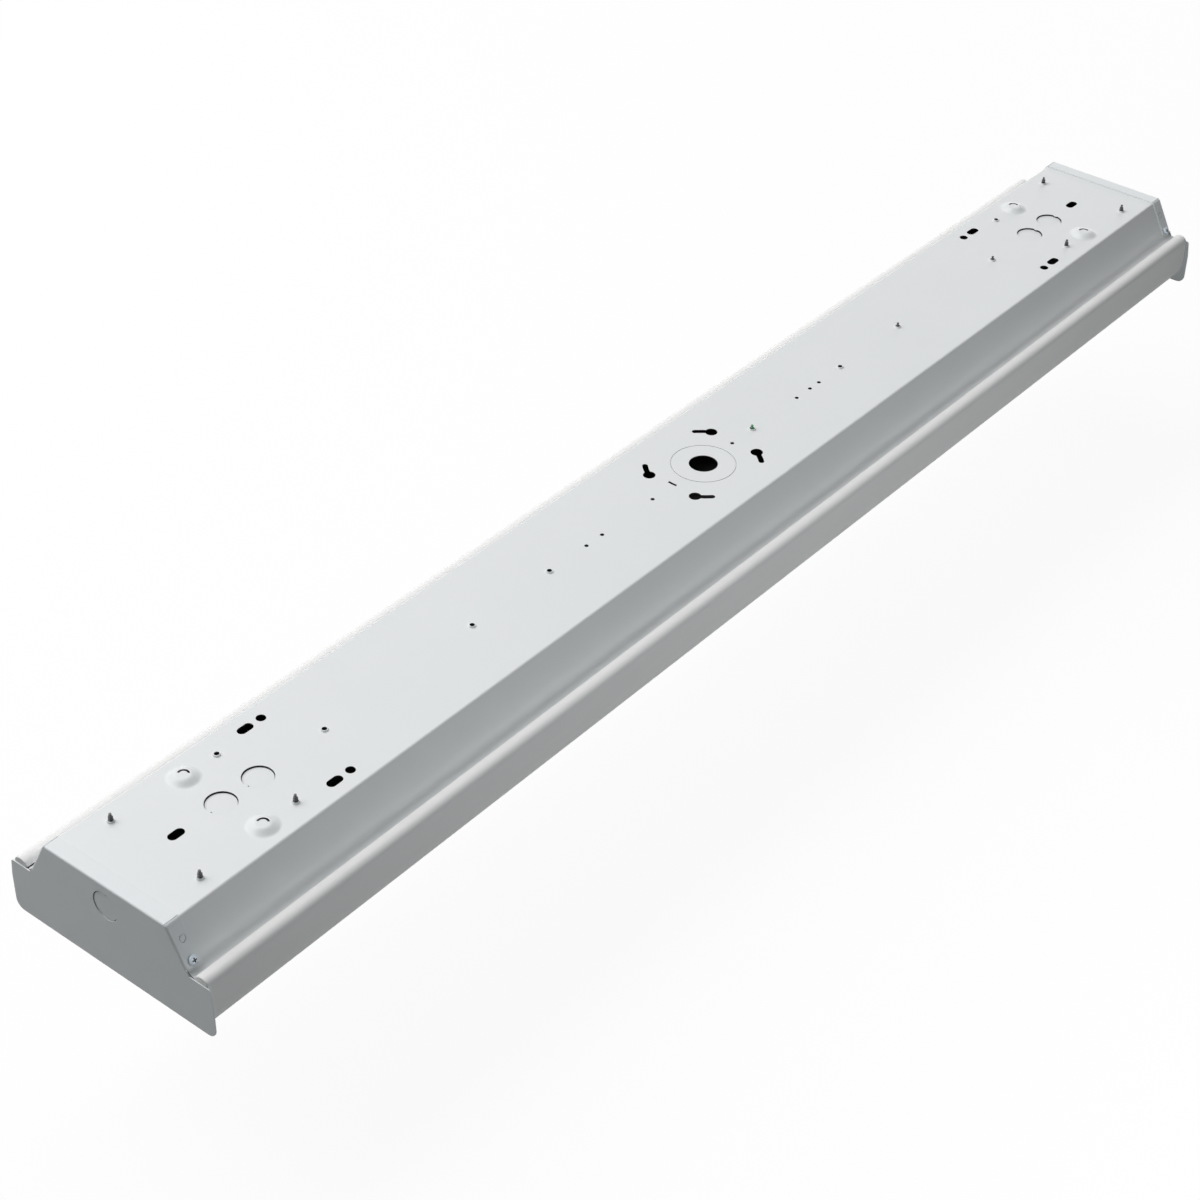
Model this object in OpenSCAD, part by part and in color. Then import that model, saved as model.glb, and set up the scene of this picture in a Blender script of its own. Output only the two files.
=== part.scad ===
// Wraparound ceiling light, 4 ft, seen from its ceiling side: a formed sheet channel between two
// stamped end plates, and a wraparound lens that hangs on a rolled lip and swings down.
// X runs along the light, +Z points at the ceiling, and the origin is the centre of the wire entry
// hole on the face that meets the ceiling. "near" is -X, "far" is +X, "hinge" is -Y, "latch" is +Y.

/* [Overall] */
// Length over the two end plates
body_len = 1219.2; // [1190:0.1:1600]
// Width of the end plates at their widest
end_w = 184; // [182:0.5:196]
// Height of the end plates below the ceiling face
end_h = 73; // [70:0.5:90]
// Thickness of the channel and tray sheet
sheet_t = 0.8; // [0.6:0.05:1]
// Thickness of the end plate sheet
plate_t = 0.9; // [0.7:0.05:1.1]

/* [Channel] */
// Distance from the foot of each slope to the lip of the lens
lip_inset = 5.2; // [5:0.1:6.5]
// How far each slope runs inwards from its foot to the ceiling face
side_run = 17; // [14:0.5:20]
// Depth of the shoulders below the ceiling face
shoulder_drop = 31.7; // [30:0.1:34]
// Radius of the sweep from slope to shoulder
shoulder_r = 8; // [6:0.5:8.5]
// Outer radius of the bend between ceiling face and slope
top_bend_r = 2; // [1.5:0.1:3]
// How far the hinge shoulder reaches past the crown of the lens roll
shoulder_over = 1; // [0:0.1:1.5]

/* [Ceiling face pattern] */
// Diameter of the wire entry hole
entry_d = 22.3; // [20:0.1:28]
// Diameter of the large knockout ring round the wire entry hole
entry_ring_d = 50.8; // [40:0.1:56]
// Diameter of the screw circle of the four keyholes
keyhole_circle_d = 89.6; // [80:0.1:96]
// Angle of the keyhole heads from the long axis
keyhole_a = 29.3; // [24:0.1:32]
// Angle that each keyhole slot turns through
keyhole_turn = 16.5; // [12:0.1:20]
// Diameter of the keyhole heads
keyhole_head_d = 9.6; // [8:0.1:11]
// Width of the keyhole slots
keyhole_slot_w = 4.4; // [3.5:0.1:5.5]
// Diameter of the small pilot holes
pilot_d = 3.2; // [2.5:0.1:4]
// Distance of the pilot holes beside the keyholes from the centre
pilot_near = 37; // [34:0.5:40]
// Distance of the single pilot hole and of the ground screw from the centre
pilot_mid = 62.8; // [58:0.1:70]
// Distance of the first of the outer pilot holes from the centre
pilot_far = 122.8; // [110:0.1:130]
// Distance between the first and second outer pilot hole
pilot_step = 18.2; // [12:0.1:25]
// Distance between the second and third outer pilot hole on the far half
pilot_extra = 12.3; // [8:0.1:18]
// Distance of the inner spare collar holes from the centre
collar_near = 183; // [175:0.5:220]
// Width of the hanging slots and round holes
hang_w = 7.1; // [6:0.1:8]
// Length of the hanging slots
hang_slot_len = 12.8; // [10:0.1:16]
// Distance of the single centre line slot from the end
hang_mid_inset = 61.6; // [60:0.1:64]
// Distance of the paired slots from the end
hang_pair_inset = 162.3; // [160:0.1:170]
// Distance between each paired slot and its round hole
hang_pair_step = 14.6; // [12:0.1:18]
// Distance of the paired slots from the edges of the ceiling face
hang_pair_edge = 14; // [11:0.5:17]
// Diameter of the conduit knockouts
knockout_d = 22.2; // [20:0.1:24]
// How deep the knockout discs sit below the face
knockout_sink = 1.2; // [1:0.1:1.8]
// Distance of the outer knockout from the end
knockout_inset = 100.6; // [94:0.1:102]
// Distance between the two knockouts
knockout_step = 33; // [28:0.1:38]
// Distance of the raised spacer feet from the end
foot_inset = 102.3; // [98:0.1:106]
// Distance of the raised spacer feet from the edges of the ceiling face
foot_edge = 18.8; // [17:0.1:22]
// Diameter of the raised spacer feet
foot_d = 25; // [20:0.5:28]
// Height of the raised spacer feet
foot_h = 3.1; // [2:0.1:4]
// Diameter of the flat on each spacer foot
foot_flat_d = 9; // [7:0.5:11]

/* [End plates] */
// Length of the flanges that lap over the channel
flange_len = 12; // [9:0.5:15]
// Outer radius of the flange bends
plate_bend_r = 1.5; // [1.2:0.1:2]
// Depth of the plate shoulder below the ceiling face
plate_shoulder = 31.3; // [30:0.1:32]
// How far the plate shoulders stand inside the widest place
plate_lean = 1.7; // [1:0.1:2.5]
// Depth at which the plate sides are widest
plate_wide_drop = 45; // [40:0.5:50]
// Radius of the lower corners
plate_corner_r = 7; // [5:0.5:16]
// Depth of the plate knockout below the ceiling face
plate_knockout_drop = 17; // [14:0.5:18]
// How deep the plate knockout disc sits behind the outer face
plate_knockout_sink = 0.5; // [0.3:0.1:0.8]

/* [Lens] */
// Wall of the lens
lens_t = 1.8; // [1.4:0.1:2.2]
// How far the lens side stands inside the edge of the end plate
lens_side_inset = 3.5; // [3:0.1:4]
// How far the lens floor stands above the lower edge of the end plate
lens_floor_inset = 2; // [1.5:0.1:5]
// Outer radius of the lower corners of the lens
lens_corner_r = 17; // [12:0.5:26]
// Height of the rolled lip above the shoulder
roll_rise = 5; // [4.6:0.1:5.4]
// Outer radius of the roll towards the side
roll_side_r = 5.5; // [4.5:0.1:6.5]
// Outer radius of the roll towards the channel
roll_lip_r = 8.2; // [7.6:0.1:8.8]
// Gap between the lip and the shoulder that it hangs on
lip_gap = 0.3; // [0.3:0.05:0.5]
// Gap between the lip and the edge of the latch shoulder
latch_gap = 0.4; // [0.35:0.05:0.6]
// Gap between each end of the lens and the end plate
lens_end_gap = 0.5; // [0.4:0.1:2.5]

/* [LED tray] */
// Depth of the tray face below the ceiling face
tray_drop = 30.8; // [29:0.1:31]
// How far the tray sides climb inside the slopes
tray_side_h = 17; // [10:0.5:22]
// Gap between tray sides and slopes
tray_gap = 0.15; // [0.1:0.05:0.3]
// Gap between tray ends and end plates
tray_end_gap = 3; // [2:0.5:6]
// Bend radius along the tray edges
tray_bend_r = 2; // [1.5:0.1:3]
// Distance of the LED rows from the feet of the slopes
row_inset = 39; // [32:0.5:42]
// Width of the LED boards
board_w = 20; // [18:0.5:24]
// Thickness of the LED boards
board_t = 1.2; // [1:0.1:1.6]
// Distance of the board ends from the end of the light
board_inset = 37.6; // [34:0.1:50]
// Gap between the two boards of a row
board_split = 8; // [6:0.5:12]
// Distance between LED packages
led_pitch = 20; // [16:0.5:30]
// Length of an LED package
led_len = 3.5; // [3:0.1:4]
// Width of an LED package
led_w = 2.8; // [2.4:0.1:3.2]
// Height of an LED package
led_h = 0.7; // [0.6:0.1:0.9]

/* [Tray brackets] */
// Distance of the bracket crossbar screws from the end
bracket_inset = 43.6; // [42:0.1:45]
// Distance of the crossbar screws from the edges of the ceiling face
bracket_screw_edge = 14.5; // [13:0.1:17]
// Distance of the arm screw from the end
arm_inset = 131.6; // [128:0.1:134]
// Distance of the arm screw from the edge of the ceiling face
arm_screw_edge = 19; // [17:0.1:21]
// Width of the crossbar along the light
bracket_w = 20; // [16:0.5:22]
// Distance of the bracket legs from the edges of the ceiling face
bracket_edge = 7; // [5:0.5:9]
// Length of the feet that carry the tray
bracket_foot = 10; // [8:0.5:11]
// Thickness of the bracket sheet
bracket_t = 1; // [0.8:0.1:1.2]

/* [Screws] */
// Thread diameter of the self-tapping screws
screw_d = 3.5; // [3:0.1:3.8]
// Gap round each screw in its hole
screw_gap = 0.1; // [0.05:0.05:0.2]
// Width across flats of the hex heads
head_flats = 6.3; // [5.5:0.1:7]
// Height of the hex heads
head_h = 2; // [1.6:0.1:2.2]
// Diameter of the head washers
washer_d = 8.2; // [7.5:0.1:9]
// Thickness of the head washers
washer_t = 0.7; // [0.5:0.1:0.9]
// How far the bracket screws stand above the ceiling face
tip_tall = 6.5; // [4:0.5:8]
// How far the driver and ground screws stand above the ceiling face
tip_short = 4; // [3:0.5:5]
// Diameter of the formed collars round the tapped holes
collar_d = 5.6; // [5:0.1:6.5]
// Height of the formed collars
collar_h = 1.2; // [0.8:0.1:2]

/* [Driver] */
// Distance of the outer driver screw from the end of the light
driver_inset = 195.1; // [190:0.1:200]
// Distance between the two driver screws
driver_pitch = 147.7; // [130:0.1:150]
// Distance from each driver screw to the driver case
driver_ear = 8.3; // [7.5:0.1:10]
// Width of the driver case
driver_w = 38; // [30:0.5:44]
// Height of the driver case
driver_h = 22; // [18:0.5:24]
// Thickness of the driver foot plate
driver_foot_t = 1; // [0.8:0.1:1.2]
// Edge chamfer of the driver case
driver_chamfer = 2; // [1:0.5:3]

/* [Wiring] */
// Diameter of the driver leads
lead_d = 2; // [1.6:0.1:2.2]
// Diameter of the hole for the wire bushing in the tray
bushing_hole_d = 10; // [9:0.1:12]
// Bore of the wire bushing
bushing_bore_d = 6.4; // [6:0.1:7]
// Distance of the wire bushing from the outer driver screw
bushing_step = 31.5; // [28:0.5:36]
// Length of a splice connector
splice_len = 16; // [12:0.5:20]
// Width of a splice connector
splice_w = 10; // [8:0.5:12]
// Height of a splice connector
splice_h = 8; // [6:0.5:10]
// Distance between splice connectors
splice_pitch = 16; // [14:0.5:18]

/* [Hidden] */

// Overlap that joins solids of one piece, and run-out of the cutters
eps = 0.01;
cut = 1;

half_len = body_len / 2;
slope_a = atan2(shoulder_drop, side_run);
shoulder_tan = shoulder_r * tan(slope_a / 2);
top_tan = top_bend_r * tan(slope_a / 2);
channel_half_len = half_len - plate_bend_r;
tapped_d = screw_d + 2 * screw_gap;

// Lens section: the roll is two tangent arcs that meet at the crown
lens_half_w = end_w / 2 - lens_side_inset;
lens_half_len = half_len - plate_t - lens_end_gap;
lens_floor = lens_floor_inset - end_h;
roll_top = roll_rise - shoulder_drop;
roll_y = lens_half_w - roll_side_r;
lip_mid_r = roll_lip_r - lens_t / 2;
lip_z = lip_gap + lens_t / 2 - shoulder_drop;
lip_a = acos((lip_z - roll_top + roll_lip_r) / lip_mid_r);
lip_y = roll_y - lip_mid_r * sin(lip_a);
hinge_edge = roll_y + shoulder_over;
latch_edge = lip_y - lens_t / 2 - latch_gap;

// Channel widths follow from the lips that hang on it
valley_w = 2 * (lip_y - lip_inset);
top_w = valley_w - 2 * side_run;
hang_pair_y = top_w / 2 - hang_pair_edge;
foot_y = top_w / 2 - foot_edge;

// End plate: places of the side flanges, screws and dimples, measured down the slope
flange_s0 = 3;
flange_s1 = 31;
end_screw_s = 28.3;
end_screw_inset = 7.3;
end_dimple_s = 12.8;
end_dimple_d = 5.5;
end_dimple_depth = 0.5;
end_dimple_groove = 0.7;
end_screw_reach = 6.5;
pan_d = 6.8;
pan_h = 2.4;
pan_slot_w = 1;
pan_slot_depth = 1.3;

// Tray and boards
tray_top = sheet_t - tray_drop;
tray_off = sheet_t + tray_gap;
tray_s1 = (tray_drop - tray_off * cos(slope_a)) / sin(slope_a);
tray_half_len = half_len - plate_t - tray_end_gap;
tray_notch = 15;
row_y = valley_w / 2 - row_inset;
board_face = -tray_drop - board_t;
board_x0 = board_split / 2;
board_x1 = half_len - board_inset;
led_first = 14;
led_count = floor((board_x1 - board_x0 - 2 * led_first) / led_pitch) + 1;
rivet_d = 3;
rivet_hole_d = rivet_d + 0.2;
rivet_head_d = 5.4;
rivet_head_h = 1.4;
rivet_barb_d = 4.2;
rivet_y = row_y + 6.4;
rivet_places = [board_x0 + 24, (board_x0 + board_x1) / 2, board_x1 - 24];

// Connectors that sit on the boards
plug_len = 10;
plug_w = 6.5;
plug_h = 4.4;
plug_y = row_y - board_w / 2 + 1 + plug_w / 2;
plug_z = board_face - plug_h / 2;
link_len = board_split + 12;
jumper_inset = 12;

// Brackets
bracket_screw_y = top_w / 2 - bracket_screw_edge;
arm_screw_y = top_w / 2 - arm_screw_edge;
bracket_half = top_w / 2 - bracket_edge;
bracket_x = half_len - bracket_inset;
arm_x = half_len - arm_inset;
bracket_seat = -sheet_t - bracket_t;
tray_screw_y = bracket_half + bracket_foot / 2;
arm_y0 = bracket_half;
arm_y1 = arm_screw_y - 8;

// Driver and leads
driver_far = half_len - driver_inset;
driver_near = driver_far - driver_pitch;
driver_x0 = driver_near + driver_ear;
driver_x1 = driver_far - driver_ear;
driver_seat = -sheet_t - driver_foot_t;
driver_floor = driver_seat - driver_h;
grommet_d = 5;
grommet_len = 2;
lead_y = 7;
lead_z = driver_seat - driver_h / 2;
bushing_x = driver_far + bushing_step;
bushing_flange = 1;
feed_y = 1.6;

// Splices rest on the tray beside the ground screw, and the ring terminal points across
splice_x = pilot_mid + 28;
splice_z = tray_top + splice_h / 2;
terminal_t = 0.8;
terminal_d = 8;
barrel_d = 3.4;
barrel_y = 13;
barrel_z = -sheet_t - barrel_d / 2;

function arc(c, r, a0, a1, n, first = 0) = [for (i = [first:n])
    let (a = a0 + (a1 - a0) * i / n) [c[0] + r * cos(a), c[1] + r * sin(a)]];
function reversed(p) = [for (i = [len(p) - 1:-1:0]) p[i]];
function flipped(p) = [for (q = p) [-q[0], q[1]]];
// Strip of sheet from its outer and inner half paths, which run from the edge to the middle
function strip(outer, inner) =
    concat(outer, flipped(reversed(outer)), flipped(inner), reversed(inner));
// Point of a section at s down the slope and off outside its face
function on_slope(s, off) =
    [top_w / 2 + s * cos(slope_a) + off * sin(slope_a), off * cos(slope_a) - s * sin(slope_a)];

// A section in Y and Z, extruded along X and centred
module along_x(length) {
    rotate([90, 0, 90]) linear_extrude(length, center = true) children();
}
module scale_x(s) {
    if (s < 0) mirror([1, 0, 0]) children();
    else children();
}
module scale_y(s) {
    if (s < 0) mirror([0, 1, 0]) children();
    else children();
}
// Frame on the far hinge slope: z is its outward normal and y climbs the slope
module slope_frame(s, x) {
    p = on_slope(s, 0);
    translate([x, -p[0], p[1]]) rotate([slope_a, 0, 0]) children();
}

// Hex washer head screw that points up, with its washer seated at z = 0
module tapping_screw(reach, tip) {
    translate([0, 0, -washer_t]) cylinder(d = washer_d, h = washer_t, $fn = 48);
    translate([0, 0, -washer_t - head_h]) difference() {
        cylinder(d = head_flats / cos(30), h = head_h + eps, $fn = 6);
        translate([0, 0, -cut]) cylinder(d = head_flats * 0.6, h = cut + head_h * 0.3, $fn = 32);
    }
    translate([0, 0, -eps]) cylinder(d = screw_d, h = reach - tip + eps, $fn = 32);
    translate([0, 0, reach - tip]) cylinder(d1 = screw_d, d2 = screw_d * 0.15, h = tip, $fn = 32);
}

// Pan-head screw with a cross recess
module pan_screw(reach, tip) {
    difference() {
        rotate_extrude($fn = 48) polygon(concat([[0, 0], [pan_d / 2, 0]],
            [for (a = [0:15:90]) [pan_d / 2 * cos(a), -pan_h * (0.35 + 0.65 * sin(a))]]));
        for (size = [[pan_d * 0.5, pan_slot_w, 2 * pan_slot_depth], [pan_slot_w, pan_d * 0.5, 2 * pan_slot_depth]])
            translate([0, 0, -pan_h]) cube(size, center = true);
    }
    translate([0, 0, -eps]) cylinder(d = screw_d, h = reach - tip + eps, $fn = 32);
    translate([0, 0, reach - tip]) cylinder(d1 = screw_d, d2 = screw_d * 0.15, h = tip, $fn = 32);
}

// Tube along a smooth curve through a few points, and side is square to the bends
function catmull(a, b, c, d, u) = 0.5 * (2 * b + (c - a) * u + (2 * a - 5 * b + 4 * c - d) * u * u
    + (3 * b - a - 3 * c + d) * u * u * u);
function smooth_path(p, k) = [for (i = [0:len(p) - 2], j = [0:k - 1])
    catmull(p[max(i - 1, 0)], p[i], p[i + 1], p[min(i + 2, len(p) - 1)], j / k), p[len(p) - 1]];
module wire(points, d, side) {
    sides = 8;
    path = smooth_path(points, 4);
    n = len(path);
    rings = [for (i = [0:n - 1], k = [0:sides - 1])
        let (t = path[min(i + 1, n - 1)] - path[max(i - 1, 0)],
            u = cross(t, side) / norm(cross(t, side)),
            v = cross(u, t) / norm(cross(u, t)),
            a = 360 * k / sides)
        path[i] + d / 2 * (cos(a) * u + sin(a) * v)];
    walls = [for (i = [0:n - 2], k = [0:sides - 1], half = [0, 1])
        let (a = i * sides + k, b = i * sides + (k + 1) % sides)
        half == 0 ? [a, b, b + sides] : [a, b + sides, a + sides]];
    last = (n - 1) * sides;
    caps = [for (k = [1:sides - 2], end = [0, 1])
        end == 0 ? [0, k + 1, k] : [last, last + k, last + k + 1]];
    polyhedron(rings, concat(walls, caps));
}

// Channel: ceiling face, slopes and swept shoulders
function channel_half(off) = concat(
    [[hinge_edge, -shoulder_drop - off]],
    arc([valley_w / 2 + shoulder_tan, shoulder_r - shoulder_drop], shoulder_r + off,
        -90, -90 - slope_a, 14),
    arc([top_w / 2 - top_tan, -top_bend_r], top_bend_r - off, 90 - slope_a, 90, 5));

module slot_cut(length, w, depth) {
    cube([length - w, w, depth], center = true);
    for (s = [-1, 1]) translate([s * (length - w) / 2, 0, 0])
        cylinder(d = w, h = depth, center = true, $fn = 48);
}

// Slot along a circle about the origin, from angle a0 to a1, at most half a turn
module arc_slot(r, w, a0, a1, depth) {
    reach = 2 * r;
    intersection() {
        difference() {
            cylinder(r = r + w / 2, h = depth, center = true, $fn = 96);
            cylinder(r = r - w / 2, h = depth + 1, center = true, $fn = 96);
        }
        linear_extrude(depth + 1, center = true)
            polygon(concat([[0, 0]], [for (a = [a0, (a0 + a1) / 2, a1]) reach * [cos(a), sin(a)]]));
    }
}

module keyhole_cut(depth) {
    r = keyhole_circle_d / 2;
    head = [r * cos(keyhole_a), r * sin(keyhole_a)];
    end = [r * cos(keyhole_a + keyhole_turn), r * sin(keyhole_a + keyhole_turn)];
    translate(head) cylinder(d = keyhole_head_d, h = depth, center = true, $fn = 64);
    translate(end) cylinder(d = keyhole_slot_w, h = depth, center = true, $fn = 48);
    arc_slot(r, keyhole_slot_w - 2 * eps, keyhole_a, keyhole_a + keyhole_turn, depth);
}

// Disc left in a knockout, sunk below the face at z = 0 and held by two tabs
module knockout_disc(t, sink) {
    slit = 0.45;
    tab_w = 3;
    tab_in = 1.2;
    tab_out = 0.6;
    translate([0, 0, -t - sink]) cylinder(d = knockout_d - 2 * slit, h = t, $fn = 64);
    translate([knockout_d / 2 - tab_in, -tab_w / 2, -t - sink])
        cube([tab_in + tab_out, tab_w, t + sink - eps]);
}

// Raised foot: a soft cone pressed up out of the sheet
function foot_curve(off) = [for (i = [0:8])
    [foot_d / 2 + (foot_flat_d - foot_d) / 2 * i / 8, foot_h * (1 - cos(180 * i / 8)) / 2 - off]];
module spacer_foot() {
    difference() {
        rotate_extrude($fn = 64) polygon(concat(
            foot_curve(0), [[0, foot_h], [0, foot_h - sheet_t]], reversed(foot_curve(sheet_t))));
        arc_slot(foot_flat_d / 2 - 0.8, 1.5, -37, 113, 4 * foot_h);
    }
}

module formed_collar() {
    difference() {
        translate([0, 0, -eps]) cylinder(d1 = collar_d, d2 = tapped_d + 1, h = collar_h, $fn = 48);
        cylinder(d = tapped_d, h = 3 * collar_h, center = true, $fn = 48);
    }
}

// Places on the ceiling face
collar_places = concat(
    [for (s = [-1, 1], x = [collar_near, driver_near, driver_far]) [s * x, 0]],
    [for (s = [-1, 1], t = [-1, 1]) [s * arm_x, t * arm_screw_y]],
    [for (s = [-1, 1], t = [-1, 1]) [s * bracket_x, t * bracket_screw_y]],
    [[pilot_mid, 0]]);
foot_places = [for (s = [-1, 1], t = [-1, 1]) [s * (half_len - foot_inset), t * foot_y]];
knockout_places = [for (s = [-1, 1], k = [0, 1]) s * (half_len - knockout_inset - k * knockout_step)];
pilot_places = [pilot_near, -pilot_mid, -pilot_far, -pilot_far - pilot_step,
    pilot_far, pilot_far + pilot_step, pilot_far + pilot_step + pilot_extra];

module ceiling_face_cuts(depth) {
    cylinder(d = entry_d, h = depth, center = true, $fn = 96);
    for (s = [-1, 1], t = [-1, 1]) scale_x(s) scale_y(t) keyhole_cut(depth);
    for (x = pilot_places) translate([x, 0, 0]) cylinder(d = pilot_d, h = depth, center = true, $fn = 32);
    arc_slot(pilot_near, 2, 172, 184, depth);
    for (s = [-1, 1]) translate([s * (half_len - hang_mid_inset), 0, 0])
        slot_cut(hang_slot_len, hang_w, depth);
    for (s = [-1, 1], t = [-1, 1]) translate([s * (half_len - hang_pair_inset), t * hang_pair_y, 0]) {
        slot_cut(hang_slot_len, hang_w, depth);
        translate([-s * hang_pair_step, 0, 0]) cylinder(d = hang_w, h = depth, center = true, $fn = 48);
    }
    for (x = knockout_places) translate([x, 0, 0])
        cylinder(d = knockout_d, h = depth, center = true, $fn = 64);
    for (p = foot_places) translate(p) cylinder(d = foot_d - eps, h = depth, center = true, $fn = 64);
    for (p = collar_places) translate(p) cylinder(d = tapped_d, h = depth, center = true, $fn = 48);
    // Scored ring of the large knockout
    difference() {
        cylinder(d = entry_ring_d, h = sheet_t * 0.8, center = true, $fn = 96);
        cylinder(d = entry_ring_d - 0.8, h = sheet_t, center = true, $fn = 96);
    }
}

module channel_housing() {
    color("WhiteSmoke") {
        difference() {
            along_x(2 * channel_half_len) difference() {
                polygon(strip(channel_half(0), channel_half(sheet_t)));
                translate([latch_edge, -shoulder_drop - cut]) square([hinge_edge, 2 * cut]);
            }
            ceiling_face_cuts(2 * (sheet_t + cut));
            for (s = [-1, 1], t = [-1, 1]) scale_x(s) scale_y(t)
                slope_frame(end_screw_s, half_len - end_screw_inset)
                cylinder(d = tapped_d, h = 4 * sheet_t, center = true, $fn = 48);
        }
        for (x = knockout_places) translate([x, 0, 0]) rotate([0, 0, x > 0 ? 0 : 180]) knockout_disc(sheet_t, knockout_sink);
        for (p = foot_places) translate(p) spacer_foot();
        for (p = collar_places) translate(p) formed_collar();
    }
}

// End plate at the far end: flat sheet with a flange on the ceiling face and one on each slope
function plate_half() =
    let (w = end_w / 2, r = plate_corner_r, sh = w - plate_lean, inner = plate_t - plate_bend_r - eps,
        foot_s = (plate_shoulder + plate_t * cos(slope_a)) / sin(slope_a),
        top_s = -inner * (1 - cos(slope_a)) / sin(slope_a))
    concat(arc([w - r, r - end_h], r, -90, 0, 10),
        [[w, -plate_wide_drop], [sh + 0.3, -plate_shoulder - 1.2], [sh - 0.8, -plate_shoulder],
        on_slope(foot_s, plate_t), on_slope(flange_s1 + 0.4, plate_t), on_slope(flange_s1 + 0.4, inner),
        on_slope(top_s, inner)]);

// Right angle bend: the leg stands at x = 0 and joins the plate, the flange lies at z = 0
module bent_flange(length) {
    leg = 1.5;
    rotate([90, 0, 0]) linear_extrude(length) polygon(concat(
        [[-flange_len, 0]], arc([-plate_bend_r, -plate_bend_r], plate_bend_r, 90, 0, 8),
        [[-eps, -plate_bend_r], [-eps, -plate_bend_r - leg],
        [eps - plate_t, -plate_bend_r - leg], [eps - plate_t, -plate_bend_r]],
        arc([-plate_bend_r, -plate_bend_r], plate_bend_r - plate_t, 0, 90, 5),
        [[-flange_len, -plate_t]]));
}

module end_plate() {
    top_flange = top_w / 2 - top_tan + 0.3;
    color("Gainsboro") {
        difference() {
            union() {
                translate([half_len - plate_t, 0, 0]) rotate([90, 0, 90]) linear_extrude(plate_t)
                    polygon(concat(plate_half(), flipped(reversed(plate_half()))));
                translate([half_len, top_flange, plate_t]) bent_flange(2 * top_flange);
                for (t = [-1, 1]) scale_y(t) slope_frame(flange_s0, half_len)
                    translate([0, 0, plate_t]) bent_flange(flange_s1 - flange_s0);
            }
            translate([half_len, 0, -plate_knockout_drop]) rotate([0, 90, 0])
                cylinder(d = knockout_d, h = 4 * plate_t, center = true, $fn = 64);
            for (t = [-1, 1]) scale_y(t) {
                slope_frame(end_screw_s, half_len - end_screw_inset)
                    cylinder(d = tapped_d, h = 4 * plate_t, center = true, $fn = 48);
                slope_frame(end_dimple_s, half_len - end_screw_inset)
                    translate([0, 0, plate_t - end_dimple_depth]) difference() {
                        cylinder(d = end_dimple_d, h = cut, $fn = 48);
                        translate([0, 0, -cut])
                            cylinder(d = end_dimple_d - 2 * end_dimple_groove, h = 3 * cut, $fn = 48);
                    }
            }
        }
        translate([half_len, 0, -plate_knockout_drop]) rotate([0, 90, 0]) rotate([0, 0, 180])
            knockout_disc(plate_t, plate_knockout_sink);
    }
}
module end_plate_near() { mirror([1, 0, 0]) end_plate(); }
module end_plate_far() { end_plate(); }

module end_plate_screws() {
    color("Silver") for (t = [-1, 1]) scale_y(t) slope_frame(end_screw_s, half_len - end_screw_inset)
        translate([0, 0, plate_t]) rotate([180, 0, 0]) pan_screw(end_screw_reach, 2.5);
}
module end_plate_screws_near() { mirror([1, 0, 0]) end_plate_screws(); }
module end_plate_screws_far() { end_plate_screws(); }

// Lens: one wall of even thickness, from the floor round the side and over the roll to the lip
function lens_half() =
    let (corner = [lens_half_w - lens_corner_r, lens_floor + lens_corner_r],
        side = [roll_y, roll_top - roll_side_r], lip = [roll_y, roll_top - roll_lip_r])
    concat(arc(corner, lens_corner_r, -90, 0, 20),
        arc(side, roll_side_r, 0, 90, 14), arc(lip, roll_lip_r, 90, 90 + lip_a, 8, 1),
        arc([lip_y, lip_z], lens_t / 2, 90 + lip_a, 270 + lip_a, 8, 1),
        arc(lip, roll_lip_r - lens_t, 90 + lip_a, 90, 8, 1), arc(side, roll_side_r - lens_t, 90, 0, 14, 1),
        arc(corner, lens_corner_r - lens_t, 0, -90, 20));
module lens() {
    color("Snow") along_x(2 * lens_half_len)
        polygon(concat(lens_half(), flipped(reversed(lens_half()))));
}

// Tray: a shallow pan that nests between the slopes, with its face down
function tray_half(off) = concat(
    [on_slope(tray_s1 - tray_side_h, -tray_off - off)],
    arc([on_slope(tray_s1, -tray_off)[0] - tray_bend_r * tan(90 - slope_a / 2), tray_bend_r - tray_drop],
        tray_bend_r - off, 90 - slope_a, -90, 8));
module led_tray() {
    color("White") difference() {
        along_x(2 * tray_half_len) polygon(strip(tray_half(0), tray_half(sheet_t)));
        // The sides stop short of the end plate screws
        for (s = [-1, 1]) translate([s * half_len, 0, tray_bend_r + cut - tray_drop + end_w / 2])
            cube([2 * (tray_notch + plate_t), end_w, end_w], center = true);
        for (s = [-1, 1], t = [-1, 1]) translate([s * bracket_x, t * tray_screw_y, -tray_drop])
            cylinder(d = tapped_d, h = 4 * sheet_t, center = true, $fn = 48);
        for (s = [-1, 1], t = [-1, 1], x = rivet_places) translate([s * x, t * rivet_y, -tray_drop])
            cylinder(d = rivet_hole_d, h = 4 * sheet_t, center = true, $fn = 32);
        translate([bushing_x, 0, -tray_drop])
            cylinder(d = bushing_hole_d, h = 4 * sheet_t, center = true, $fn = 48);
    }
}

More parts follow.
